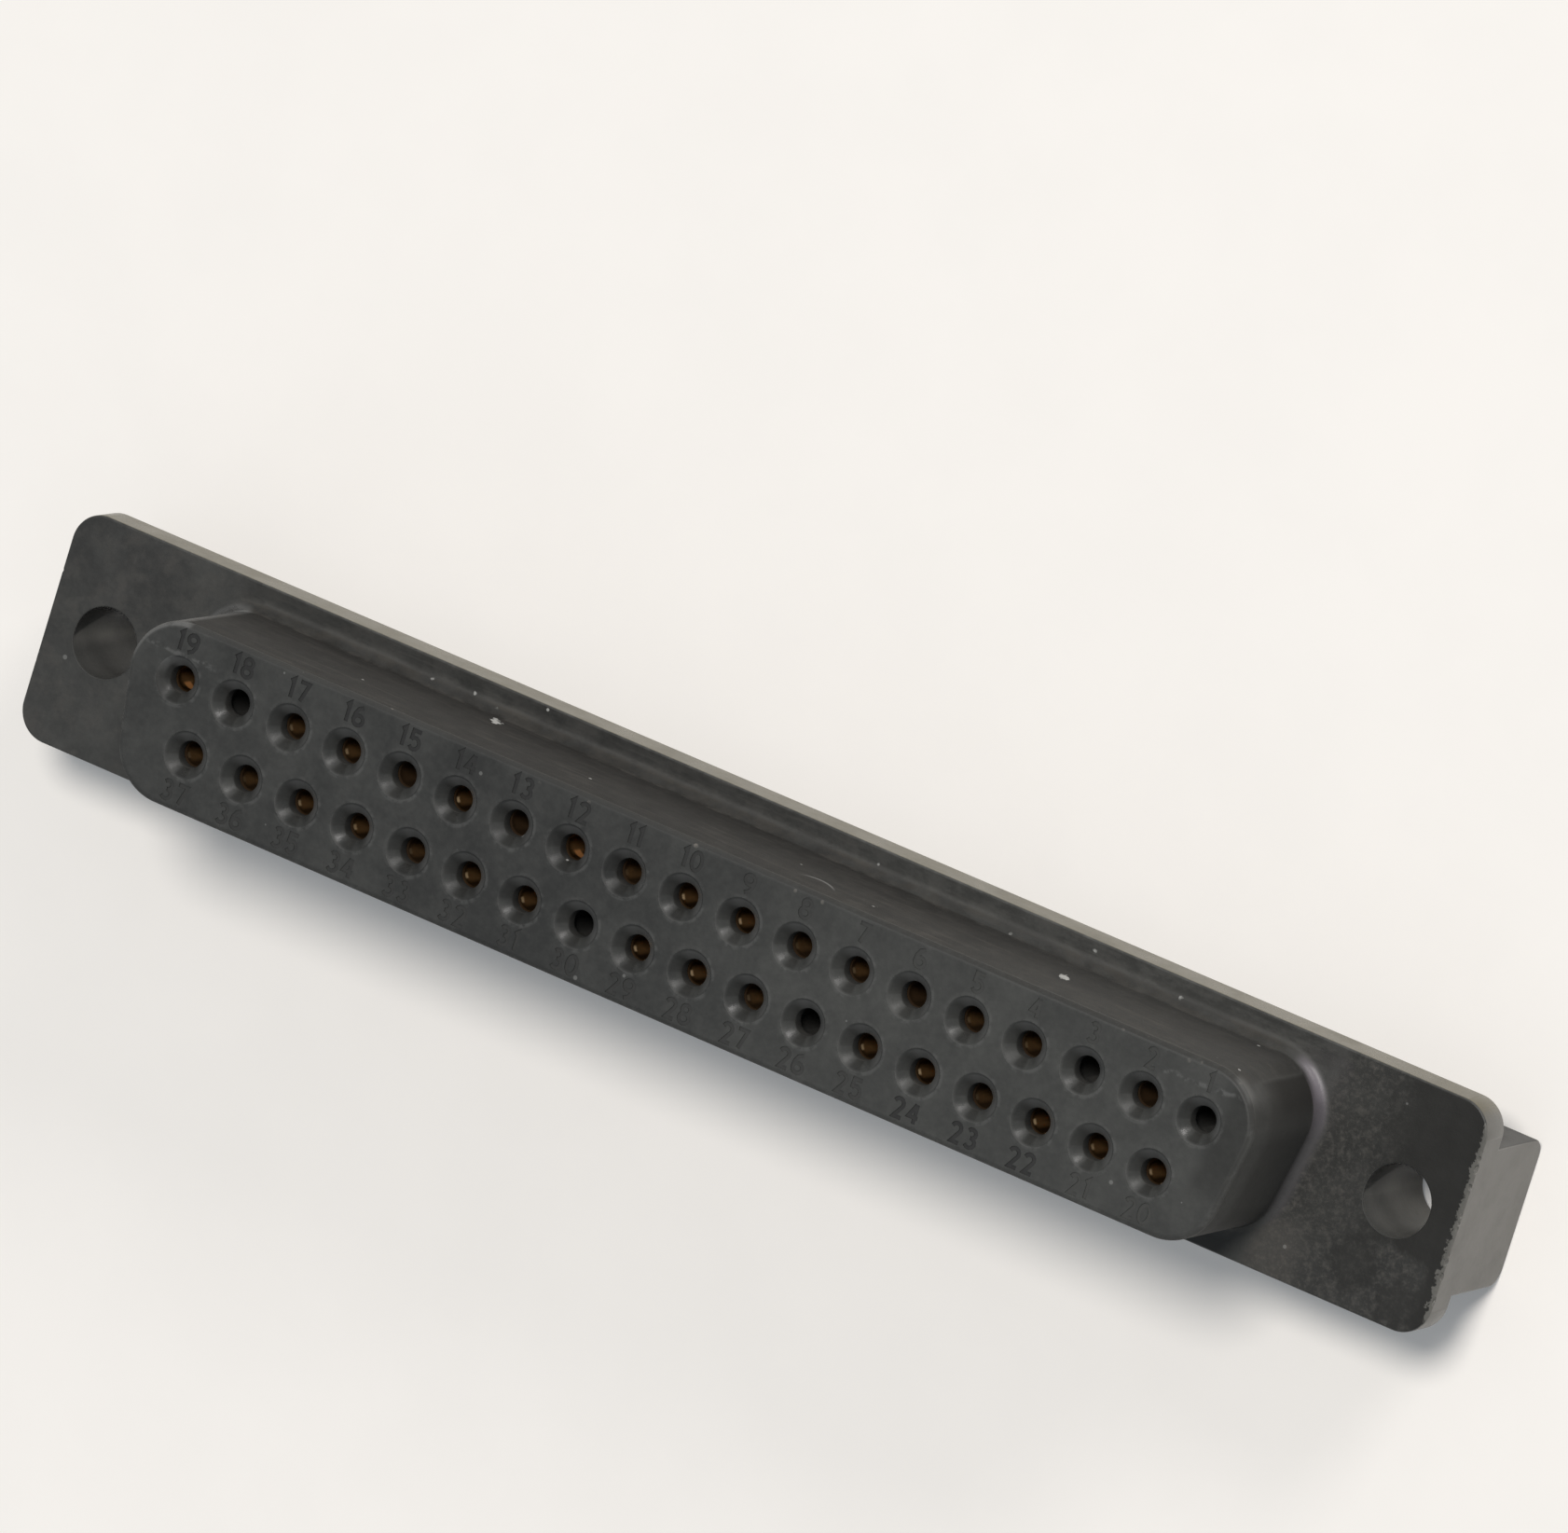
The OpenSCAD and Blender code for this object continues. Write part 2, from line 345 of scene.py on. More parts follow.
def find_places(f, p, sizes):
    """Marks where a point lies on the moulding."""
    x, y, z = p.x, p.y, p.z = f.parts(f.place())
    nx, ny, nz = f.parts(f.node("NewGeometry", output="Normal"))
    p.ny, p.nz = ny, nz
    wall_y = p.wall_y = sizes.nose_half_height
    p.from_middle = x - y * tan(sizes.side_lean)
    p.to_right = x.rise(-1, 9)

    # The flat faces and the walls
    p.on_face = z.rise(TOP - 0.12, TOP - 0.02)
    p.on_flange = nz.rise(0.75, 0.95) * z.within(-0.25, 0.12, 0.08)
    p.on_ledge = p.on_flange * y.rise(wall_y, wall_y + 0.2) * x.within(-26.3, 27.6, 0.6)
    p.right_ear = p.on_flange * p.from_middle.rise(26.6, 27.3)
    p.upright = abs(nz).fall(0.3, 0.6)
    p.on_nose_wall = p.upright * z.within(0.3, TOP - 0.25, 0.15)
    p.upper_wall = p.on_nose_wall * ny.rise(0.78, 0.88)
    p.long_side = ny.rise(0.5, 0.9) * p.upright * y.rise(4.3, 4.6)
    p.right_end = nx.rise(0.4, 0.9) * p.upright * x.rise(33.2, 34)
    p.sheen = p.on_nose_wall * ny.within(0.2, 0.8, 0.2) * nx.rise(0.3, 0.5) * z.rise(2.6, 5)

    # The fillet at the foot of the nose and the edge of its face
    p.turned = nz.within(0.2, 0.94, 0.08)
    near_nose = abs(y).fall(4.55, 4.65) * abs(x).fall(28.1, 28.3)
    p.fillet = p.turned * z.within(-0.02, sizes.nose_fillet, 0.03) * near_nose
    p.upper_fillet = p.fillet * ny.rise(0.1, 0.4) * x.fall(24.5, 26.5)
    edge_band = abs(y).rise(wall_y - 0.5, wall_y - 0.3).most(abs(x).rise(25.2, 25.6))
    p.nose_edge = p.turned * edge_band * z.rise(TOP - 0.35, TOP - 0.2)
    p.left_corner = x.fall(-25.2, -24.9) * y.rise(1.2, 2.2)
    p.corner_line = (p.on_nose_wall + p.fillet * 0.8) * p.left_corner * nx.within(-0.75, -0.2, 0.1)

    # The ear holes, and the upper part of their walls, which gets painted shade
    ear_rim = sizes.ear_radius + sizes.rim_round
    p.in_ear_hole = span(abs(x) - sizes.ear_x, y).fall(ear_rim - 0.01, ear_rim + 0.05)
    ear_shade = (z - ny * 4 + 0.7).rise(-0.3, 0.3) * (1 - p.turned)
    p.ear_shade = ear_shade.most(p.turned * ny.rise(-0.2, 0.2))


def find_cavities(p, sizes):
    """Marks the cones and bores by the distance from the nearest cavity axis."""
    row, pitch = sizes.row_gap / 2, sizes.pitch
    in_narrow = p.y < 0
    p.off_x = ((p.x + in_narrow * (pitch / 2) + pitch / 2) % pitch) - pitch / 2
    p.off_y = p.y - row + in_narrow * (2 * row)
    from_axis = span(p.off_x, p.off_y)
    in_rows = abs(p.x) < WIDE_ROW / 2 * pitch - in_narrow * (pitch / 2)
    p.around_x, p.around_y = p.off_x / from_axis, p.off_y / from_axis
    above_throat = p.z.rise(TOP - 0.6, TOP - 0.5) * (1 - p.on_face)
    below_throat = p.z.fall(TOP - 0.49, TOP - 0.45) * p.z.rise(4, 5)
    p.in_cone = (from_axis < sizes.lead_in) * in_rows * above_throat
    p.in_bore = (from_axis < sizes.entry + 0.03) * in_rows * below_throat
    p.rim = from_axis.within(sizes.lead_in - 0.02, sizes.lead_in + 0.13, 0.05) * p.on_face * in_rows


def lay_patterns(f, p):
    """Lays out the patterns that break up the dirt and the wear."""
    p.mottle = f.noise(0.45, 5, 0.6).rise(0.35, 0.7)
    p.flecks = f.noise(2.6, 4, 0.65)
    p.grain = f.noise(7, 2)
    p.clouds = f.noise(0.8, 6, 0.7)
    p.rub = f.noise(1.3, 4, 0.65)
    p.streaks = f.noise(1, 4, 0.6, (0.16, 1.6, 1.6))
    p.lines = f.noise(1, 4, 0.65, (0.3, 4.5, 4.5)).rise(0.5, 0.72)
    p.patches = f.noise(1, 5, 0.7, (0.7, 1.5, 1.5)).rise(0.42, 0.62)

    # The coat of dust on the right ear, with an uneven edge and two spots that are nearly bare
    wander = (f.noise(0.55, 3) - 0.5) * 3.2
    inner = (p.x + wander).fall(29.4, 31.8)
    lower = (p.y + wander).fall(-2.4, -1.6) * p.x.fall(33.6, 34.2)
    p.coat = inner.most(lower)
    for spot_x, spot_y, radius in BARE_SPOTS:
        away = span(p.x - spot_x, p.y - spot_y) + wander * 0.3 + (p.flecks - 0.5) * 0.9
        p.coat = p.coat * (away.rise(radius - 0.3, radius + 0.3) * 0.65 + 0.35)


def dust_film(p):
    """Share of dust: streaks on the upper wall, clouds on the flange, a blotched coat on the right ear."""
    x, y, z, clouds = p.x, p.y, p.z, p.clouds
    coat = p.coat * (p.flecks.rise(0.45, 0.75) * 0.6 + p.grain.rise(0.5, 0.7) * 0.35)
    nose_foot = x.fall(27.6, 29) * y.fall(-3.4, -2) * 0.4
    flange = (p.on_flange - p.right_ear - p.on_ledge).most(0) * (clouds.rise(0.42, 0.72) * 0.4 + 0.06)
    ledge = y.fall(4.35, 4.65) * (p.streaks.rise(0.25, 0.7) * 0.12 + clouds.rise(0.4, 0.7) * 0.16)
    wall = p.streaks.rise(0.4, 0.75) * 0.35 + clouds.rise(0.45, 0.7) * 0.25
    wall = wall * (p.to_right * 0.6 + 0.4) * (z.rise(1.6, 4.8) * 0.8 + 0.2) * (1 - x.rise(21, 24) * 0.5)
    lines = (p.upper_wall * (z.rise(1, 4) * 0.5 + 0.4) + p.on_ledge * 0.5) * p.lines * 0.45
    patches = (p.on_ledge * 0.35 + p.upper_fillet * 0.7 + p.upper_wall * 0.2) * p.patches * 0.5
    ear = p.right_ear * (coat + nose_foot)
    return ear + flange + p.on_ledge * ledge + p.upper_wall * wall + lines + patches


def grime_share(p):
    """Share of grime and painted shade: grime on the ledge rim, upper wall, face rim and right ear, grime and
    painted shade on the upper fillet, and painted shade on the other nose walls, the nose's upper edge, in
    the cones, ear holes and bores and on the block's long sides.
    """
    x, y, z, ny = p.x, p.y, p.z, p.ny
    cloudy = p.clouds.rise(0.4, 0.7)
    ledge_rim = 0.42 - p.to_right * 0.2 - x.rise(14, 22) * 0.2 - cloudy * 0.2
    upper_wall = 1 - z.rise(1.5, 4.5) * 0.25 - x.rise(8, 18) * 0.3 - cloudy * 0.15
    # Painted shade on the ends and lower wall of the nose: less near the face, more low on the upper corners
    end_wall_shade = 0.5 - z.rise(3.9, 5.1) * 0.4 + ny.rise(0.1, 0.5) * z.fall(2.6, 5) * 0.4
    face_rim = (p.from_middle + (p.flecks - 0.5) * 0.8).rise(25.2, 25.9) * y.rise(-2.2, -0.8)
    # Painted shade on the upper part of the nose's front edge, which dims its highlight
    nose_edge = ny.rise(0.02, 0.2) * (p.flecks.rise(0.3, 0.6) * 0.3 + p.to_right * 0.25)
    # Grime and painted shade on the fillet along the upper side of the nose
    fillet = 0.85 - p.to_right * 0.2 - p.clouds.rise(0.35, 0.65) * 0.4
    # Painted shade in each cone: a wedge on its upper left and a band at its bottom
    wedge_shade = (p.around_y * 0.64 - p.around_x * 0.77).rise(0.5, 0.6) * 0.5
    cone = ((p.around_y * -1).rise(0.93, 0.99) * 0.8).most(wedge_shade)
    # Painted shade on the long sides of the rear block
    block_side_shade = p.upright * abs(ny).rise(0.6, 0.9) * z.fall(-1.85, -1.75)
    return most_of(
        p.on_ledge * y.rise(4.35, 4.65) * ledge_rim,
        p.upper_wall * upper_wall,
        (p.on_nose_wall - p.upper_wall).most(0) * end_wall_shade,
        p.on_face * face_rim * 0.42,
        p.nose_edge * nose_edge,
        p.upper_fillet * fillet,
        (p.on_ledge + p.upper_fillet) * (1 - p.patches) * 0.35,
        p.right_ear * (0.85 - p.coat * 0.35),
        p.in_cone * cone * 0.6,
        # Painted shade in the ear holes and in the bores
        p.in_ear_hole * p.ear_shade * 0.15,
        p.in_bore * 0.6,
        block_side_shade * 0.3,
    )


def worn_share(f, p):
    """Share of rubbed plastic on rims and edges and in the scuffs, with painted light on the lit side of the
    cone rims and a painted highlight at the upper right corner of the nose.
    """
    x, y, z, rub = p.x, p.y, p.z, p.rub
    # Painted light: the cone rims are paler on the side towards the lamps
    lit_side = (p.off_x * 0.8 - p.off_y * 0.3).rise(-0.9, 0.9) * 0.7 + 0.3
    cone_rims = p.rim * lit_side * (rub + (p.flecks - 0.5) * 0.7).rise(0.35, 0.65)
    nose_edge = p.nose_edge * p.ny.fall(0.2, 0.6) * rub.rise(0.5, 0.75)
    outline = abs(x).rise(34.2, 34.5).most(abs(y).rise(4.7, 4.95)) * x.fall(33.5, 34.4)
    flange_rims = abs(p.nz).within(0.2, 0.94, 0.08) * outline * z.within(-1.72, 0.05, 0.03)
    left_corner = (p.nose_edge * p.left_corner * 0.6).most(p.corner_line * 0.55)
    # Painted highlight on the upper right corner of the nose, off its face
    nose_corner_highlight = x.within(25.9, 26.8, 0.2) * y.rise(2.6, 3) * z.rise(TOP - 0.9, TOP - 0.3)

    # A curved hairline on the upper wall, and two broken scuffs on the face, at the ends of the wide row
    bend = z - 4.05 - (x - 4.8) * (x - 4.8) * 0.6
    hairline = p.upper_wall * bend.within(-0.07, 0.07, 0.06) * x.within(4.2, 5.7, 0.3)
    ragged = (f.noise(1.6, 4) - 0.5) * 0.45
    left = (y - 2.5 - ragged).within(-0.09, 0.09, 0.07) * x.within(-26.8, -23.4, 0.5)
    right = (y - x * 0.03 - 2.15 - ragged).within(-0.09, 0.09, 0.07) * x.within(22.3, 26.7, 0.5)
    scuffs = (left + right) * p.on_face * (rub + (p.flecks - 0.5) * 0.6).rise(0.4, 0.65)
    return most_of(
        cone_rims * 0.2,
        nose_edge * 0.2,
        flange_rims * rub.rise(0.4, 0.7) * 0.2,
        left_corner * (rub.rise(0.25, 0.5) * 0.6 + 0.4),
        nose_corner_highlight * (1 - p.on_face) * 0.35,
        hairline * 0.9,
        scuffs * 0.4,
    )


def white_specks(f, p):
    """Share of white specks, most of them beside the nose, and of two larger flakes on its upper wall."""
    crowd = (p.on_ledge + p.upper_wall * 0.6) * 0.8 + 0.24
    dots = f.specks(0.9, 0.3, 0.08) * crowd.rise(0.1, 0.5) * 0.8
    ragged = (f.noise(8, 2) - 0.5) * 0.2
    for speck_x, speck_y in LEDGE_SPECKS:
        away = span(p.x - speck_x, p.y - speck_y) + ragged
        dots = dots.most(away.fall(0.02, 0.1) * p.on_flange * 0.7)
    broken = (f.noise(5, 3) - 0.5) * 3
    for flake_x, flake_z in WALL_FLAKES:
        across, along = (p.x - flake_x - (p.z - flake_z) * 0.42) / 0.27, (p.z - flake_z) / 0.45
        dots = dots.most((across * across + along * along + broken).fall(0.4, 1) * p.upper_wall)
    return dots


def faded_plastic(sizes, colours):
    """Black moulded plastic, faded to grey, with a dust film, grime, rubbed rims, scuffs and specks, and with
    painted shade, painted light and painted highlights on its walls, edges, cones, ear holes and fillet.
    """
    f, p = Finish(bpy.data.materials.new("faded_plastic")), SimpleNamespace()
    find_places(f, p, sizes)
    find_cavities(p, sizes)
    lay_patterns(f, p)
    x, y, z, ny = p.x, p.y, p.z, p.ny

    # Colour of the bare plastic, more faded towards the right
    left_ear = x.fall(-30.5, -28.5)
    tone = p.mottle * 0.45 + p.flecks.rise(0.3, 0.75) * 0.4 + p.grain * 0.25 + p.to_right * 0.45
    tone = tone - x.within(-13, -3, 3) * 0.25 + left_ear * (0.15 - y.rise(-3, 3.5) * 0.45)
    base = f.mix(tone * 0.5, colours.plastic_dark, colours.plastic_faded * 2 - colours.plastic_dark)

    # Pale dust and painted light on the flange's long side, pale dust on the right end with its chipped rim,
    # and painted light on the walls of the ear holes
    uneven = p.clouds.rise(0.2, 0.6) * 0.25 + 0.75
    jagged = x + (p.flecks - 0.5) * 0.8 + (p.grain - 0.5) * 0.2
    chipped = jagged.rise(34.4, 34.47) * z.within(-1.75, 0.05, 0.03) * (1 - p.long_side)
    right_end = p.right_end.most(chipped) * 0.75 * uneven
    # Painted light on the walls of the ear holes, brighter deeper down, kept off the painted shade
    ear_hole_light = ny.within(-0.35, 0.4, 0.2) * 0.7 + ny.rise(0.3, 0.6) * (x.rise(0, 1) * 0.2 + 0.2) + 0.03
    ear_hole_light = p.in_ear_hole * p.upright * (1 - p.ear_shade) * ear_hole_light * (1.3 - z.rise(-3.5, 0) * 0.95)

    # Painted highlight on the fillet round the nose, brightest at the upper right corner
    fillet_highlight = p.fillet * x.rise(26, 27.3) * (y.rise(0.5, 2.6) * 0.6 + 0.3)
    from_x = x - (sizes.nose_half_width - sizes.nose_corner)
    from_y = y - (p.wall_y - sizes.nose_corner)
    corner_aim = (from_x * 0.67 + from_y * 0.74) / span(from_x, from_y)
    fillet_corner_highlight = p.fillet * x.rise(24.9, 25.5) * corner_aim.rise(0.88, 1) * z.fall(0.15, 0.45)

    # Painted light on the side of each cone that faces away from the lamps, and crumbs of dust along the
    # upper edge of the nose
    cone_light = p.in_cone * (p.around_x * 0.64 + p.around_y * 0.77).rise(-0.2, 0.6)
    upper_edge = y.rise(p.wall_y - 0.45, p.wall_y - 0.25) * z.rise(TOP - 0.7, TOP - 0.3)
    crumbs = f.specks(1.6, 0.4, 0.16) * upper_edge * p.rub.rise(0.35, 0.6)

    # worn carries the rubbed wear together with the painted light on the cone rims and the painted highlight
    # on the nose corner
    film, worn, dots = dust_film(p), worn_share(f, p), white_specks(f, p)
    layers = (
        (grime_share(p), colours.grime),
        (film, colours.dust),
        (cone_light * 0.55, colours.plastic_worn),
        # Pale dust and painted light on the flange's upper long side
        (p.long_side * 0.95 * uneven, colours.side_long),
        (right_end, colours.side_dust),
        (ear_hole_light * uneven, colours.side_dust * 2.2),
        (fillet_highlight, colours.fillet),
        (fillet_corner_highlight * 0.7, colours.fillet * 2),
        (worn, colours.plastic_worn),
        (dots * 0.6, colours.speck),
        (crumbs * 0.7, colours.dust * 2.4),
    )
    for share, tint in layers:
        base = f.mix(share, base, tint)

    # Dirt dulls the plastic, and rubbing and handling polish it. Streaks run down the cones.
    aim = f.node("CombineXYZ", [p.around_x, p.around_y, x * 0.4])
    spokes = f.noise(1.5, 1, vector=aim) - 0.5
    rough = 0.48 + film * 0.3 - worn * 0.08 + (p.mottle - 0.5) * 0.1 + dots * 0.2
    rough = rough + p.in_cone * (spokes * 0.5 - 0.1) + p.rim * p.turned * 0.35 + p.in_bore * 0.3
    rough = rough + p.on_nose_wall * 0.45 + p.nose_edge * 0.3 - p.corner_line * 0.3 - p.sheen * 0.45
    rough = rough + p.fillet * (0.2 - y.rise(0, 2) * y.fall(3.7, 3.9) * 0.3)
    rough = rough + p.upper_fillet * p.patches * 0.25 - (right_end + p.long_side) * 0.16
    rough = rough + p.in_ear_hole * (p.turned * 0.4 - 0.06)
    relief = p.grain * 0.5 + f.noise(22, 2) * 0.5 + f.noise(1.1, 3) * 1.5
    normal = f.bump(relief, 0.012, 0.5)
    return f.surface({"Base Color": base, "Roughness": rough, "IOR": 1.46, "Normal": normal})


def numeral_groove(colours):
    """Dull dark plastic in the numerals, worn to the colour of the face in places and at the right."""
    f = Finish(bpy.data.materials.new("numeral_groove"))
    x, y = f.parts(f.place())[:2]
    smudge = f.noise(3, 4)
    wide_row = x.rise(-14, 16) * 0.55 + 0.3
    narrow_row = 0.65 - x.within(11, 19, 1) * 0.4 + x.rise(19, 20.5) * 0.3
    faded = wide_row + (y < 0) * (narrow_row - wide_row) + (smudge - 0.5) * 0.6
    face = f.mix(x.rise(-3, 9) * 0.5 + 0.5, colours.plastic_dark, colours.plastic_faded)
    base = f.mix(faded.most(0).least(0.95), colours.groove, face)
    return f.surface({"Base Color": base, "Roughness": 0.55 + smudge * 0.2, "IOR": 1.45})


def contact_plating(colours):
    """Gold flash on copper alloy: dull at the mouth, rubbed bright inside where pins have slid, with painted
    shade on the lip, a painted glint below it and a painted highlight streak on two contacts.
    """
    f = Finish(bpy.data.materials.new("contact_plating"))
    age = f.node("Attribute", output="Fac", attribute_name="tarnish")
    nx, ny, nz = f.parts(f.node("NewGeometry", output="Normal"))
    height = f.parts(f.place())[2]
    patches = f.noise(1.6, 4, 0.6)
    facing = abs(nx * 0.87 + ny * 0.5)
    rubbed = facing.rise(0.72, 1) * (height + (patches - 0.5) * 0.5).within(3.5, 4.95, 0.25)
    mouth = height.rise(3.2, 3.8) * (1 - rubbed)
    dull = (age * 0.75 + patches.rise(0.3, 0.75) * 0.35 + mouth * 0.3).rise(0, 1.2)
    # Painted shade on the lip, where it faces up
    lip = nz.rise(0.25, 0.5) * height.rise(4.8, 5)
    # Contacts that get the painted highlight streak
    scraped = age < (BRIGHT + STREAKED) / 2
    # Painted glint: a small bright spot on the tine just below the lip
    glint = facing.rise(0.95, 1) * height.within(4.82, 5.06, 0.08) * age.fall(BRIGHT, 1.1)
    glint = glint * (1 - scraped)
    # Painted highlight streak on a tine of two contacts
    scrape = scraped * (ny * 0.97 - nx * 0.22).rise(0.4, 0.6) * height.within(4.15, 4.7, 0.1)
    base = f.mix(dull, colours.gold, colours.tarnish)
    base = f.mix((mouth * 0.9).most(lip), base, colours.tarnish * 0.5)
    base = f.mix(glint * 0.9, base, colours.glint)
    base = f.mix(scrape, base, colours.scrape)
    values = {
        "Base Color": base,
        "Metallic": 0.92 - dull * 0.2 - rubbed * 0.12 - (glint + scrape) * 0.5,
        "Roughness": 0.3 + dull * 0.2 + mouth * 0.1 + lip * 0.3,
        "Normal": f.bump(f.noise(1.5, stretch=(6, 6, 1)), 0.01, 0.4),
    }
    return f.surface(values)


def set_mode(mode):
    bpy.ops.object.mode_set(mode=mode)


def deselect():
    if bpy.context.object and bpy.context.object.mode != "OBJECT":
        set_mode("OBJECT")
    bpy.ops.object.select_all(action="DESELECT")


def activate(piece):
    """Makes one object the only one selected."""
    deselect()
    piece.select_set(True)
    bpy.context.view_layer.objects.active = piece


def apply_place():
    """Moves the place, turn and scale of the selected object into its mesh."""
    bpy.ops.object.transform_apply(location=True, rotation=True, scale=True)


def apply_modifier(piece, kind, **settings):
    """Adds a modifier to the active piece, sets it and applies it."""
    bpy.ops.object.modifier_add(type=kind)
    modifier = piece.modifiers[-1]
    for key, value in settings.items():
        setattr(modifier, key, value)
    bpy.ops.object.modifier_apply(modifier=modifier.name)


def edit_all(kind=None):
    """Starts to edit the active object, with all of its mesh selected."""
    set_mode("EDIT")
    if kind:
        bpy.ops.mesh.select_mode(type=kind)
    bpy.ops.mesh.select_all(action="SELECT")


def face_outwards():
    """Turns all the faces of the active object outwards and ends the edit."""
    edit_all()
    bpy.ops.mesh.normals_make_consistent(inside=False)
    set_mode("OBJECT")


def pick(piece, kind, wanted):
    """In edit mode, selects only the elements that a test wants."""
    bpy.ops.mesh.select_mode(type=kind)
    bpy.ops.mesh.select_all(action="DESELECT")
    mesh = bmesh.from_edit_mesh(piece.data)
    mesh.normal_update()
    items = {"EDGE": mesh.edges, "FACE": mesh.faces}[kind]
    found = [item for item in items if wanted(item)]
    for item in found:
        item.select_set(True)
    mesh.select_flush_mode()
    bmesh.update_edit_mesh(piece.data)
    if not found:
        raise RuntimeError(f"{piece.name}: nothing to select")


def round_edges(piece, wanted, radius, segments):
    """Bevels the edges that a test wants."""
    activate(piece)
    set_mode("EDIT")
    pick(piece, "EDGE", wanted)
    bpy.ops.mesh.bevel(
        offset_type="OFFSET", offset=radius, segments=segments, profile=0.5, affect="EDGES",
        clamp_overlap=False, loop_slide=False,
    )
    set_mode("OBJECT")


def sharp(edge, low, high):
    """Tells whether an edge turns sharply and lies between two heights."""
    heights = [corner.co.z for corner in edge.verts]
    level = low - NEAR < min(heights) and max(heights) < high + NEAR
    return level and len(edge.link_faces) == 2 and edge.calc_face_angle() > SHARP_ANGLE


def rounded_slab(name, corners, radius, low, high, sides):
    """A slab with round corners: a post at each corner, wrapped by a convex hull."""
    deselect()
    posts = []
    for x, y in corners:
        bpy.ops.mesh.primitive_cylinder_add(
            vertices=sides, radius=radius, depth=high - low, location=(x, y, (low + high) / 2)
        )
        posts.append(bpy.context.object)
    for post in posts:
        post.select_set(True)
    bpy.ops.object.join()
    slab = bpy.context.object
    slab.name = name
    apply_place()
    edit_all()
    bpy.ops.mesh.convex_hull(use_existing_faces=False, join_triangles=False)
    bpy.ops.mesh.select_all(action="SELECT")
    bpy.ops.mesh.dissolve_limited(angle_limit=radians(1))
    face_outwards()
    return slab


def turned_solid(name, profile, sides):
    """A closed solid turned about Z from (radius, height) pairs, listed from end to end."""
    deselect()
    radius, height = profile[0]
    bpy.ops.mesh.primitive_circle_add(vertices=sides, radius=radius, fill_type="NGON", location=(0, 0, 0))
    solid = bpy.context.object
    solid.name = name
    edit_all("FACE")
    bpy.ops.transform.translate(value=(0, 0, height))
    for (r0, z0), (r1, z1) in zip(profile, profile[1:]):
        bpy.ops.mesh.extrude_region_move(TRANSFORM_OT_translate={"value": (0, 0, z1 - z0)})
        if r1 != r0:
            bpy.ops.transform.resize(value=(r1 / r0, r1 / r0, 1), center_override=(0, 0, z1))
    face_outwards()
    return solid


def bar(size, place):
    """A bar of a size, centred on a place."""
    deselect()
    bpy.ops.mesh.primitive_cube_add(size=1, location=(0, 0, 0))
    made = bpy.context.object
    made.scale, made.location = size, place
    apply_place()
    return made


def copy_to(solid, place):
    """A copy of a solid at a place, with a mesh of its own."""
    activate(solid)
    bpy.ops.object.duplicate(linked=False)
    made = bpy.context.object
    made.location = place
    return made


def joined(solids):
    """Joins solids into one object at the origin."""
    activate(solids[0])
    for solid in solids:
        solid.select_set(True)
    if len(solids) > 1:
        bpy.ops.object.join()
    apply_place()
    return bpy.context.object


def copies(solid, places):
    """Copies a solid to each place, joins the copies and removes the first one."""
    made = [copy_to(solid, place) for place in places]
    bpy.data.objects.remove(solid)
    return joined(made)


def combine(piece, tool, operation):
    """Adds a solid to a piece or cuts it out, and removes the solid."""
    activate(piece)
    apply_modifier(
        piece, "BOOLEAN", operation=operation, object=tool, solver="EXACT", material_mode="TRANSFER"
    )
    bpy.data.objects.remove(tool)
    if not piece.data.polygons:
        raise RuntimeError(f"{piece.name}: nothing is left after a cut")


def cut(piece, tool):
    """Cuts a solid out of a piece."""
    combine(piece, tool, "DIFFERENCE")


def paint(piece, material):
    """Gives a piece one material."""
    piece.data.materials.clear()
    piece.data.materials.append(material)


def clean(piece):
    """Merges doubles, brings a piece from millimetres to metres and smooths its curved faces."""
    activate(piece)
    edit_all()
    bpy.ops.mesh.remove_doubles(threshold=MERGE_DISTANCE)
    bpy.ops.mesh.dissolve_degenerate(threshold=MERGE_DISTANCE)
    face_outwards()
    piece.scale = (MM, MM, MM)
    apply_place()
    bpy.ops.object.shade_smooth_by_angle(angle=SMOOTH_ANGLE)
    apply_modifier(piece, "WEIGHTED_NORMAL", keep_sharp=True, weight=100)


def worn_rim(radius, height, rounding, slope):
    """Profile of a rounded rim, from above the face down to where the wall or cone begins.

    The slope is the angle of the wall below the face: 90 degrees for a bore, 45 for a cone."""
    reach = rounding * tan(slope / 2)
    graze, steps = radians(10), 4
    start, end = radians(90) + graze, radians(90) + slope
    turns = [start + (end - start) * step / steps for step in range(steps + 1)]
    points = [(radius + reach + rounding * cos(t), height - rounding + rounding * sin(t)) for t in turns]
    lift, clear = 0.04, 0.5
    rim, level = points[0][0] + lift / tan(graze), points[0][1] + lift
    return [(rim, level + clear), (rim, level), *points]


def cavity_places(sizes):
    """Axis of each cavity, in the order of the numbers."""
    pitch, row = sizes.pitch, sizes.row_gap / 2
    half = (WIDE_ROW - 1) / 2 * pitch
    wide = [(half - n * pitch, row) for n in range(WIDE_ROW)]
    narrow = [(half - (n + 0.5) * pitch, -row) for n in range(WIDE_ROW - 1)]
    return wide + narrow


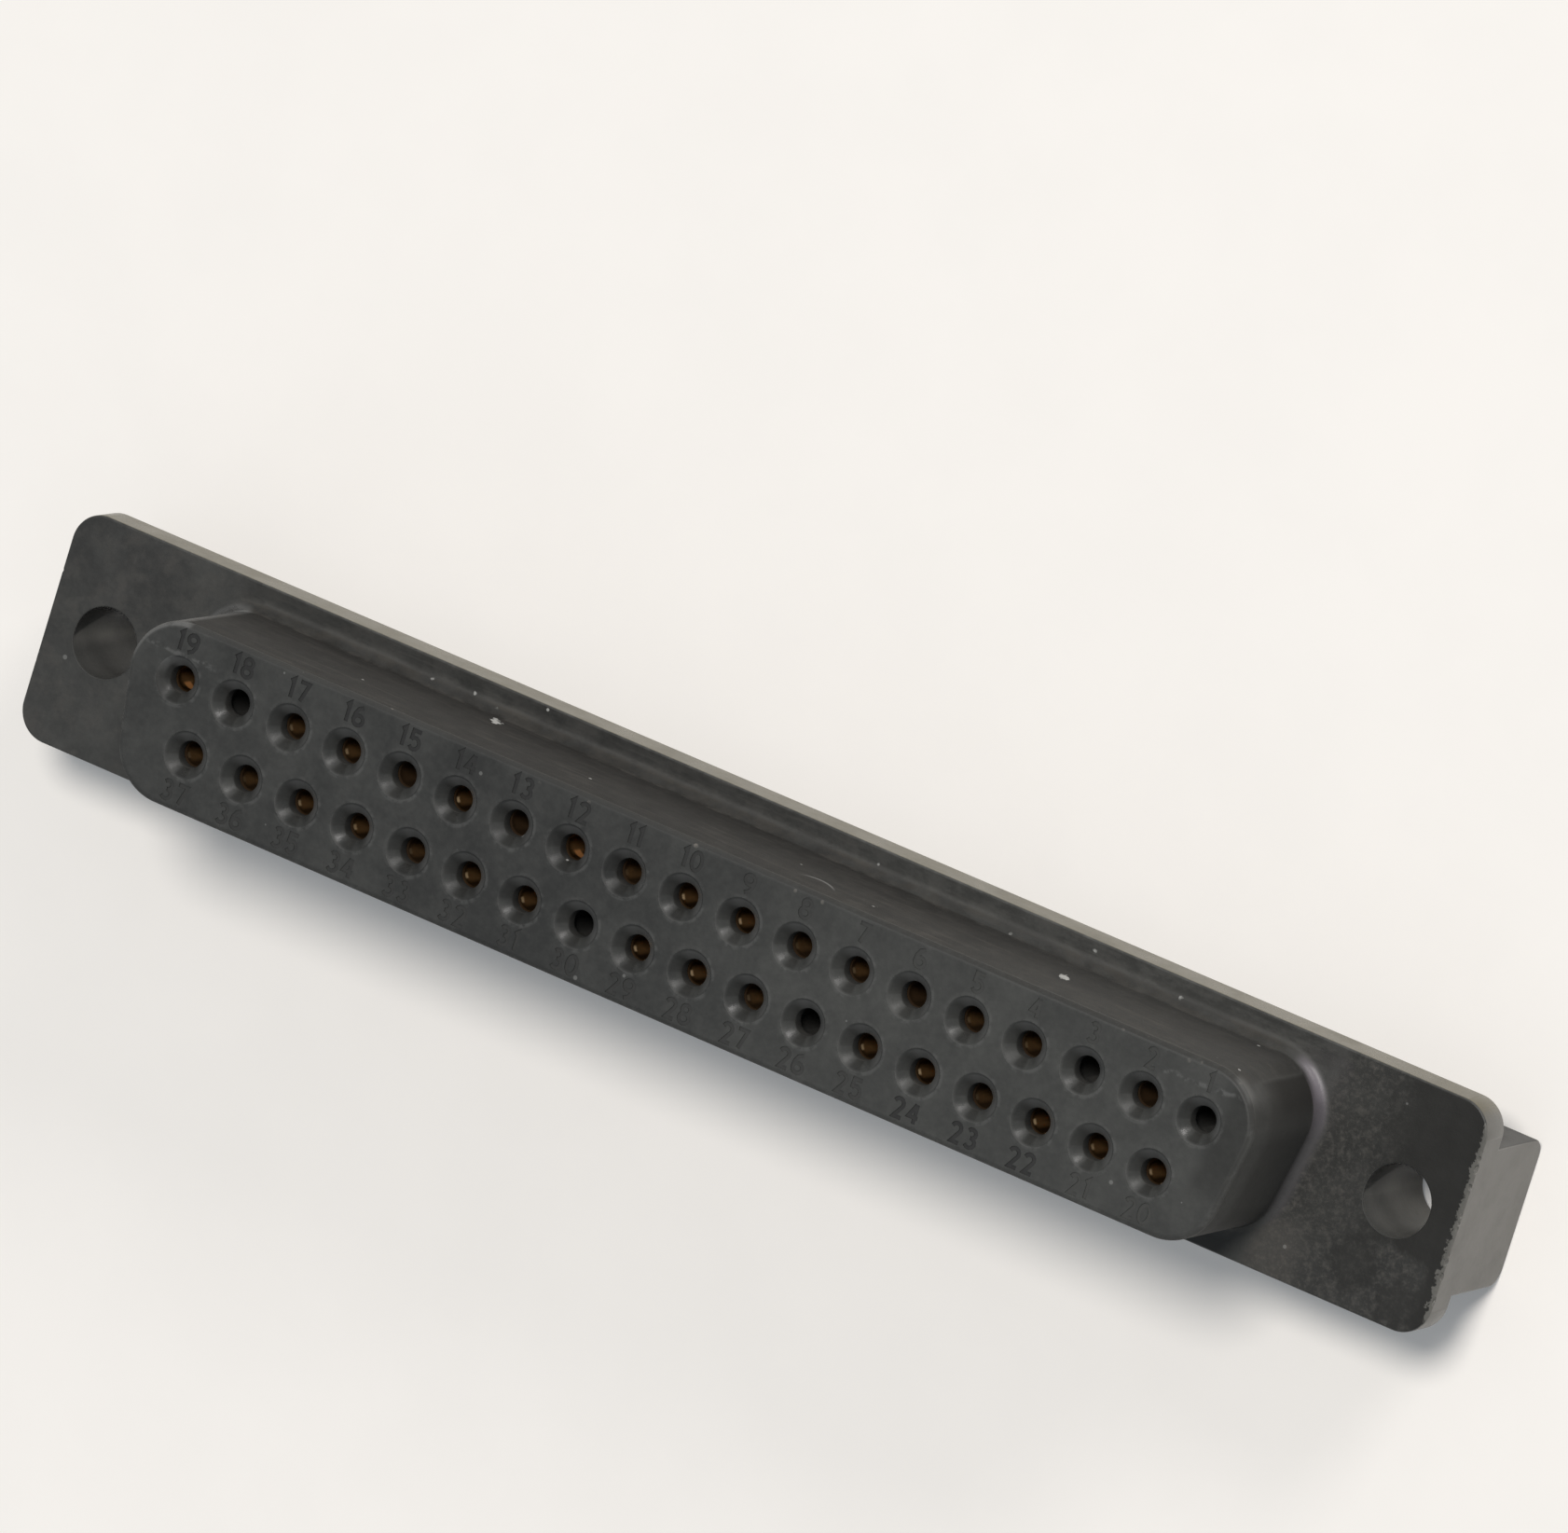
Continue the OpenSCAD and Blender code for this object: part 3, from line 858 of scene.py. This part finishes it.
def cavity_cutter(sizes):
    """Space of one cavity, from the rounded rim of its cone to the open rear."""
    entry, guide, bore, pocket = sizes.entry, sizes.guide, sizes.rear_bore, sizes.pocket
    throat, wall = TOP - (sizes.lead_in - entry), TOP - sizes.entry_wall
    seat = wall - GUIDE_LENGTH
    pocket_top = seat - POCKET_FRONT
    pocket_end = pocket_top - POCKET_LENGTH
    profile = worn_rim(sizes.lead_in, TOP, sizes.rim_round, radians(45))
    profile += [(entry + 0.04, throat + 0.04), (entry + 0.01, throat - 0.02), (entry, throat - 0.06)]
    profile += [(entry, wall), (guide, wall), (guide, seat), (bore, seat), (bore, pocket_top)]
    profile += [(pocket, pocket_top), (pocket, pocket_end), (bore, pocket_end)]
    profile += [(bore, REAR + 0.06), (bore + 0.16, REAR - 0.1)]
    return turned_solid("cavity", profile, CAVITY_SIDES)


def ear_cutter(sizes):
    """Space of one ear hole, from its rounded rim to the chamfer at its rear."""
    radius, chamfer, past = sizes.ear_radius, sizes.ear_chamfer, 0.2
    profile = worn_rim(radius, 0, sizes.rim_round, radians(90))
    profile += [(radius, REAR + chamfer), (radius + chamfer + past, REAR - past)]
    return turned_solid("ear_hole", profile, EAR_SIDES)


def arc(x, y, radius_x, radius_y, start, end, steps):
    """Points on part of an ellipse, between two angles in degrees."""
    turns = [radians(start + (end - start) * step / steps) for step in range(steps + 1)]
    return [(x + radius_x * cos(t), y + radius_y * sin(t)) for t in turns]


# Centre lines of the strokes of each digit, on a field that is 1 high
LOOP = arc(0, -0.19, 0.24, 0.22, 0, 360, 12)
HOOK = [(-0.24, -0.2), (-0.21, 0.08), (-0.09, 0.3), (0.13, 0.41)]
DIGIT_STROKES = {
    "0": [arc(0, 0, 0.24, 0.41, 0, 360, 14)],
    "1": [[(-0.12, 0.27), (0.04, 0.41), (0.04, -0.43)]],
    "2": [[*arc(0, 0.19, 0.22, 0.22, 165, -35, 7), (-0.12, -0.41), (0.26, -0.41)]],
    "3": [arc(0, 0.21, 0.2, 0.2, 150, -95, 7), arc(0, -0.19, 0.24, 0.22, 95, -150, 7)],
    "4": [[(0.27, -0.15), (-0.19, -0.15), (0.08, 0.43)], [(0.12, 0.43), (0.12, -0.43)]],
    "5": [[(0.22, 0.41), (-0.17, 0.41), (-0.19, -0.02)], arc(0, -0.15, 0.24, 0.26, 140, -150, 9)],
    "6": [LOOP, HOOK],
    "7": [[(-0.25, 0.41), (0.2, 0.41), (-0.06, -0.43)]],
    "8": [LOOP, arc(0, 0.21, 0.2, 0.2, 0, 360, 12)],
    "9": [[(-x, -y) for x, y in LOOP], [(-x, -y) for x, y in HOOK]],
}
NARROW_ONE = 0.62


def stroke_solid(points, width, low, high):
    """A wall of even width along a stroke; a stroke that ends where it starts makes a ring."""
    deselect()
    bpy.ops.mesh.primitive_plane_add(size=width, location=(*points[0], low))
    wall = bpy.context.object
    apply_place()
    edit_all("VERT")
    bpy.ops.mesh.merge(type="CENTER")
    for (x0, y0), (x1, y1) in zip(points, points[1:]):
        bpy.ops.mesh.extrude_vertices_move(TRANSFORM_OT_translate={"value": (x1 - x0, y1 - y0, 0)})
    bpy.ops.mesh.select_all(action="SELECT")
    bpy.ops.mesh.remove_doubles(threshold=2 * MERGE_DISTANCE)
    bpy.ops.mesh.select_all(action="SELECT")
    bpy.ops.mesh.extrude_edges_move(TRANSFORM_OT_translate={"value": (0, 0, high - low)})
    set_mode("OBJECT")
    apply_modifier(wall, "SOLIDIFY", thickness=width, offset=0, use_even_offset=True)
    face_outwards()
    return wall


def digit_solid(digit, sizes, material):
    """One digit as a solid, centred on the origin; a second stroke is a little shallower than the first."""
    high, depth, width = sizes.numeral_height, sizes.numeral_depth, sizes.numeral_stroke
    first, *others = [[(high * x, high * y) for x, y in stroke] for stroke in DIGIT_STROKES[digit]]
    solid = stroke_solid(first, width, -depth, depth)
    for stroke in others:
        combine(solid, stroke_solid(stroke, 0.96 * width, -0.9 * depth, 1.1 * depth), "UNION")
    paint(solid, material)
    return solid


def numeral_cutters(sizes, material):
    """The numbers of the cavities, as solids that reach into the mating face."""
    digits = {digit: digit_solid(digit, sizes, material) for digit in DIGIT_STROKES}
    made = []
    for number, (x, y) in enumerate(cavity_places(sizes), 1):
        widths = [sizes.numeral_step * (NARROW_ONE if digit == "1" else 1) for digit in str(number)]
        left = x - sum(widths) / 2
        for digit, width in zip(str(number), widths):
            place = (left + width / 2, copysign(sizes.numeral_y, y), TOP)
            made.append(copy_to(digits[digit], place))
            left += width
    for solid in digits.values():
        bpy.data.objects.remove(solid)
    return joined(made)


def nick_cutters():
    """Small uneven lumps that nick the front rims of the flange's two ends."""
    spread = random.Random(7)
    made = []
    for step in range(RIGHT_NICKS):
        y = NICK_START + step * NICK_STEP + spread.uniform(-0.12, 0.12)
        made.append((END + 0.03, y, 0.03, spread.uniform(0.06, 0.2)))
    made += [(-END - 0.02, y, 0.02, radius) for y, radius in LEFT_NICKS]
    lumps = []
    for x, y, z, radius in made:
        deselect()
        bpy.ops.mesh.primitive_ico_sphere_add(subdivisions=2, radius=radius, location=(x, y, z))
        lump = bpy.context.object
        lump.scale = (spread.uniform(0.7, 1.1), spread.uniform(0.9, 2), spread.uniform(0.8, 1.6))
        lump.rotation_euler = [spread.uniform(-0.5, 0.5) for _ in range(3)]
        lumps.append(lump)
    return lumps


def socket_contact(sizes):
    """One socket contact: two tines, a collar, two spring lances and a crimp barrel."""
    front = TOP - (sizes.entry_wall + sizes.clearance)
    seat = TOP - (sizes.entry_wall + GUIDE_LENGTH)
    bore, lip, crimp = sizes.socket, SOCKET_LIP, sizes.crimp
    outer = bore + SOCKET_WALL
    collar, collar_rear = outer + COLLAR_STEP, seat - COLLAR_LENGTH
    end = REAR + CRIMP_RECESS
    profile = [(outer - 0.04, front), (outer, front - 0.04), (outer, seat), (collar, seat)]
    profile += [(collar, collar_rear), (crimp, collar_rear), (crimp, end + 0.05), (crimp - 0.05, end)]
    contact = turned_solid("socket", profile, CONTACT_SIDES)

    # Spring lances, spread at their rear ends
    lance_top = collar_rear - 0.5
    lance_end = seat - (POCKET_FRONT + POCKET_LENGTH) + sizes.clearance
    thick, wide = LANCE_THICKNESS, LANCE_WIDTH
    reach = sqrt((sizes.pocket - sizes.clearance) ** 2 - (wide / 2) ** 2)
    for side in (-1, 1):
        place = (side * (crimp - thick / 2), 0, (lance_top + lance_end) / 2)
        lance = bar((thick, wide, lance_top - lance_end), place)
        set_mode("EDIT")
        pick(lance, "FACE", lambda face: face.normal.z < -0.9)
        bpy.ops.transform.translate(value=(side * (reach - crimp), 0, 0))
        set_mode("OBJECT")
        combine(contact, lance, "UNION")

    # Socket bore with its rounded mouth, and the wire hole
    turns = [radians(degrees) for degrees in (85, 70, 55, 40, 25, 12, 0)]
    mouth = [(bore + lip - lip * cos(t), front - lip + lip * sin(t)) for t in turns]
    mouth.insert(0, (bore + lip + 0.3, front + 0.1))
    floor = front - SOCKET_DEPTH
    profile = [*mouth, (bore, floor + 0.1), (bore - 0.1, floor)]
    cut(contact, turned_solid("bore", profile, CONTACT_SIDES))
    wire, wire_end = sizes.wire, end + WIRE_DEPTH
    profile = [(wire + 0.12, end - 0.1), (wire, end + 0.02), (wire, wire_end - 0.15), (wire - 0.3, wire_end)]
    cut(contact, turned_solid("wire_hole", profile, CONTACT_SIDES))

    # Slot between the tines, open at the front, and the inspection hole
    past = 1
    size = (SLOT_WIDTH, 2 * outer + past, SLOT_LENGTH + past)
    cut(contact, bar(size, (0, 0, front - SLOT_LENGTH + (SLOT_LENGTH + past) / 2)))
    profile = [(INSPECTION_RADIUS, 0), (INSPECTION_RADIUS, 2 * crimp)]
    hole = turned_solid("inspection_hole", profile, INSPECTION_SIDES)
    hole.rotation_euler.x = pi / 2
    hole.location.z = wire_end - 2 * INSPECTION_RADIUS
    apply_place()
    cut(contact, hole)
    return contact


def nose_slab(sizes):
    """The D-shaped nose, with the front edge rounded."""
    corner = sizes.nose_corner
    high_x, high_y = sizes.nose_half_width - corner, sizes.nose_half_height - corner
    low_x = high_x - 2 * high_y * tan(sizes.side_lean)
    corners = [(high_x, high_y), (-high_x, high_y), (-low_x, -high_y), (low_x, -high_y)]
    foot = -0.2
    nose = rounded_slab("nose", corners, corner, foot, TOP, NOSE_SIDES)
    round_edges(nose, lambda edge: sharp(edge, TOP, TOP), sizes.nose_edge, 5)
    return nose


def flange_slab(sizes):
    """The flange, with both rims rounded and its ends nicked."""
    radius, back = sizes.flange_corner, -sizes.flange_thickness
    corners = [(sx * (END - radius), sy * (SIDE - radius)) for sx in (-1, 1) for sy in (-1, 1)]
    flange = rounded_slab("moulded_housing", corners, radius, back, 0, FLANGE_SIDES)
    round_edges(flange, lambda edge: sharp(edge, back, 0), sizes.flange_edge, 3)
    for lump in nick_cutters():
        cut(flange, lump)
    return flange


def block_bar(sizes):
    """The rear block, a bar along the rows with two round rear edges."""
    radius = sizes.block_rear
    y = sizes.block_half_height - radius
    corners = [(sy * y, z) for sy in (-1, 1) for z in (REAR + radius, -radius - 0.1)]
    block = rounded_slab("block", corners, radius, -END, END, BLOCK_SIDES)
    block.rotation_euler = (pi / 2, 0, pi / 2)
    apply_place()
    at_end = 2 * (END - NEAR)
    round_edges(block, lambda edge: abs(sum(v.co.x for v in edge.verts)) > at_end, sizes.block_edge, 3)
    return block


class CONNECTOR_OT_housing(bpy.types.Operator):
    """Models the moulded housing with its cavities, ear holes and numerals"""

    bl_idname = "connector.housing"
    bl_label = "Housing"

    def execute(self, context):
        sizes = in_millimetres(context.scene.connector_sizes)
        colours = context.scene.connector_colours
        nose = nose_slab(sizes)
        housing = flange_slab(sizes)
        combine(housing, nose, "UNION")
        foot_x, foot_y = sizes.nose_half_width + 0.05, sizes.nose_half_height + 0.01

        def at_foot(edge):
            inside = all(abs(v.co.x) < foot_x and abs(v.co.y) < foot_y for v in edge.verts)
            return inside and sharp(edge, 0, 0)

        round_edges(housing, at_foot, sizes.nose_fillet, 6)
        combine(housing, block_bar(sizes), "UNION")
        axes = [(x, y, 0) for x, y in cavity_places(sizes)]
        cut(housing, copies(cavity_cutter(sizes), axes))
        ears = [(sizes.ear_x, 0, 0), (-sizes.ear_x, 0, 0)]
        cut(housing, copies(ear_cutter(sizes), ears))

        paint(housing, faded_plastic(sizes, colours))
        cut(housing, numeral_cutters(sizes, numeral_groove(colours)))
        clean(housing)
        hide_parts("housing")
        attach(housing, "root")
        return {"FINISHED"}


class CONNECTOR_OT_contacts(bpy.types.Operator):
    """Models one socket contact and copies it into each cavity that holds one"""

    bl_idname = "connector.contacts"
    bl_label = "Contacts"

    def execute(self, context):
        sizes = in_millimetres(context.scene.connector_sizes)
        pattern = socket_contact(sizes)
        paint(pattern, contact_plating(context.scene.connector_colours))
        clean(pattern)
        places = cavity_places(sizes)
        spread = random.Random(5)
        for node in CONTACT_NODES:
            number = int(node[-2:])
            x, y = places[number - 1]
            piece = copy_to(pattern, (x * MM, y * MM, 0))
            piece.name = f"socket_{number:02d}"
            piece.rotation_euler.z = sizes.contact_turn
            apply_place()
            other = spread.uniform(*OTHER_TARNISH)
            tarnish = piece.data.attributes.new("tarnish", "FLOAT", "POINT")
            tarnish.data.foreach_set("value", [TARNISH.get(number, other)] * len(piece.data.vertices))
            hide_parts(node)
            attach(piece, "root")
        bpy.data.objects.remove(pattern)
        return {"FINISHED"}


class CONNECTOR_OT_stage(bpy.types.Operator):
    """Sets a pale floor, soft lamps and the camera of the photograph"""

    bl_idname = "connector.stage"
    bl_label = "Stage"

    def execute(self, context):
        scene, stage, colours = context.scene, context.scene.connector_stage, context.scene.connector_colours
        scene.view_settings.view_transform = "Standard"

        deselect()
        bpy.ops.mesh.primitive_plane_add(size=4, location=(0, 0, HOUSING_LOW.z))
        floor = context.object
        floor.name = "floor"
        f = Finish(bpy.data.materials.new("pale_table"))
        uneven = f.noise(0.12, 4, 0.6)
        shade = f.mix(uneven.rise(0.3, 0.7), colours.floor, colours.floor * 0.98)
        plain = f.node("BsdfDiffuse", {"Color": shade})
        glow = f.node("Emission", {"Color": (*colours.floor_glow, 1)})
        path = f.outputs(f.node("LightPath"))
        seen = path["Is Camera Ray"].most(path["Is Glossy Ray"])
        both = f.node("MixShader", [seen * stage.floor_glow, plain, glow])
        f.node("OutputMaterial", {"Surface": both})
        floor.data.materials.append(f.owner)

        world = Finish(scene.world or bpy.data.worlds.new("studio"))
        scene.world = world.owner
        seen = world.outputs(world.node("LightPath"))["Is Camera Ray"]
        strength = seen * (BACKDROP - stage.ambient) + stage.ambient
        sky = world.node("Background", {"Color": SKY_TINT, "Strength": strength})
        world.node("OutputWorld", {"Surface": sky})

        lamps = (("key_lamp", KEY_LAMP, stage.key_power), ("rim_lamp", RIM_LAMP, stage.rim_power))
        for name, (place, size, tint), power in lamps:
            bpy.ops.object.light_add(type="AREA", location=place)
            lamp = context.object
            lamp.name = name
            lamp.data.shape = "DISK"
            lamp.data.size, lamp.data.energy, lamp.data.color = size, power, tint
            lamp.rotation_euler = Vector(place).to_track_quat("Z", "Y").to_euler()

        bpy.ops.object.camera_add(location=stage.camera_place)
        camera = context.object
        camera.name = "photo_camera"
        right, back = Vector(stage.camera_right).normalized(), Vector(stage.camera_back)
        back = (back - right * back.dot(right)).normalized()
        turn = Matrix((right, back.cross(right), back)).transposed()
        camera.rotation_euler = turn.to_euler()
        camera.data.sensor_fit = "HORIZONTAL"
        camera.data.sensor_width = 36
        camera.data.lens = stage.lens
        camera.data.clip_start, camera.data.clip_end = 0.01, 20
        scene.camera = camera
        return {"FINISHED"}


class CONNECTOR_PT_parts(bpy.types.Panel):
    """Lists the pieces of the connector"""

    bl_idname = "CONNECTOR_PT_parts"
    bl_label = "Connector"
    bl_space_type = "VIEW_3D"
    bl_region_type = "UI"
    bl_category = "Connector"

    def draw(self, context):
        for each in OPERATORS:
            self.layout.operator(each.bl_idname)
        for name in GROUPS:
            group, column = getattr(context.scene, name), self.layout.column()
            for key in group.__annotations__:
                column.prop(group, key)


GROUPS = {
    "connector_sizes": ConnectorSizes,
    "connector_colours": ConnectorColours,
    "connector_stage": ConnectorStage,
}
OPERATORS = (CONNECTOR_OT_housing, CONNECTOR_OT_contacts, CONNECTOR_OT_stage)
CLASSES = (*GROUPS.values(), *OPERATORS, CONNECTOR_PT_parts)


def register():
    for each in CLASSES:
        bpy.utils.register_class(each)
    for name, group in GROUPS.items():
        setattr(bpy.types.Scene, name, PointerProperty(type=group))


def unregister():
    for name in GROUPS:
        delattr(bpy.types.Scene, name)
    for each in reversed(CLASSES):
        bpy.utils.unregister_class(each)


def main():
    register()
    bpy.ops.connector.stage()
    bpy.ops.connector.housing()
    bpy.ops.connector.contacts()


if __name__ == "__main__":
    main()
